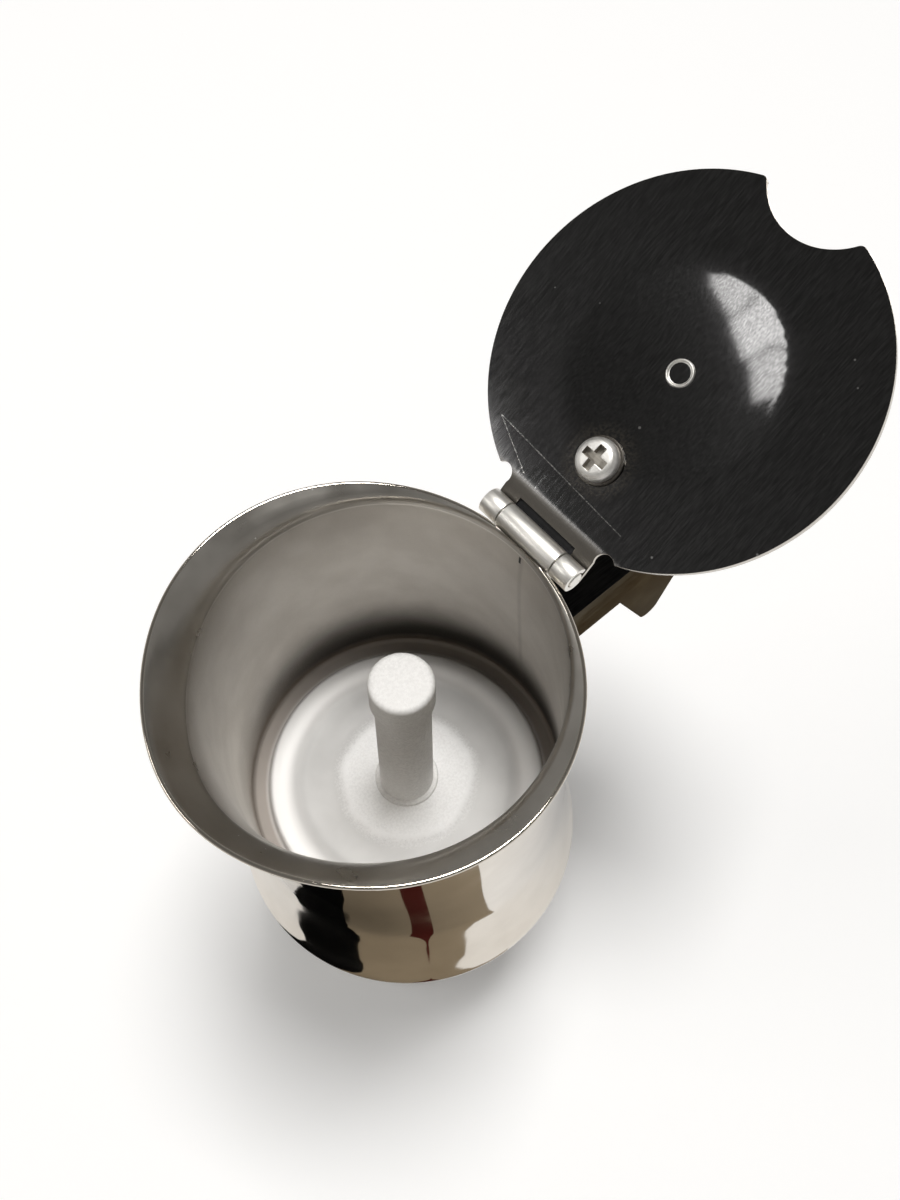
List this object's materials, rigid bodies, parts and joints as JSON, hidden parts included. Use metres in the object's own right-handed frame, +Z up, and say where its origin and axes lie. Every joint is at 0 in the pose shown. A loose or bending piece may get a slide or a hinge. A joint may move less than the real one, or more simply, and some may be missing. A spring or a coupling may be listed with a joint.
{
  "type": "moka pot",
  "caption": "Steel stove-top coffee pot: flared jug with a central column and hinged lid over a screw-on boiler with a coffee funnel, safety valve and folded handle.",
  "frame": {"origin": "middle of the boiler's flat foot, on the column's axis, at the surface the pot stands on", "axes": "+Z up, +X towards the lid hinge and the handle, -X towards the pouring lip, +Y towards the safety valve"},
  "size_m": [0.1382, 0.0843, 0.1855],
  "materials": {
    "polished_steel": "mirror polished, satin inside",
    "satin_steel": "satin",
    "blasted_steel": "bead blasted",
    "hinge_steel": "bright",
    "handle_steel": "satin",
    "lid_steel": "brushed, dark",
    "stem_steel": "bright",
    "brass": "turned",
    "silicone": "matt",
    "fibre": "matt",
    "grip_plastic": "satin black"
  },
  "bodies": {
    "boiler": {"boiler_shell": "polished_steel", "valve_washer": "fibre", "valve_body": "brass", "valve_nut": "brass", "valve_spring": "stem_steel"},
    "relief": {"valve_pin": "stem_steel"},
    "funnel": {"funnel_basket": "satin_steel", "funnel_stem": "satin_steel", "funnel_screen": "satin_steel"},
    "seal": {"gasket": "silicone", "filter_plate": "satin_steel"},
    "jug": {"jug_shell": "polished_steel", "collector_floor": "blasted_steel", "column_tube": "blasted_steel", "column_cap": "blasted_steel", "thread_collar": "satin_steel", "hinge_bracket": "hinge_steel", "hinge_pin": "hinge_steel", "handle_channel": "handle_steel", "handle_pad": "handle_steel"},
    "lid": {"lid_plate": "lid_steel", "lid_grip": "grip_plastic", "lid_rivet": "lid_steel", "screw_washer": "hinge_steel", "lid_screw": "hinge_steel"}
  },
  "joints": [
    {"name": "jug_lift", "type": "slide", "parent": "boiler", "child": "seal", "axis": [0, 0, 1], "range_m": [0, 0.12]},
    {"name": "jug_turn", "type": "hinge", "parent": "seal", "child": "jug", "pos_m": [0, 0, 0.065], "axis": [0, 0, 1], "range_deg": [0, 720]},
    {"name": "lid_hinge", "type": "hinge", "parent": "jug", "child": "lid", "pos_m": [0.031, 0, 0.1456], "axis": [0, 1, 0], "range_deg": [-146, 0]},
    {"name": "funnel_lift", "type": "slide", "parent": "boiler", "child": "funnel", "axis": [0, 0, 1], "range_m": [0, 0.06]},
    {"name": "relief_slide", "type": "slide", "parent": "boiler", "child": "relief", "axis": [0, 0.9868, -0.1618], "range_m": [0, 0.0015], "stiffness_N_per_m": 800, "deforming": ["valve_spring"]}
  ],
  "couplings": [
    {"joint": "funnel_lift", "follows": "jug_lift", "ratio": 0.5}
  ]
}
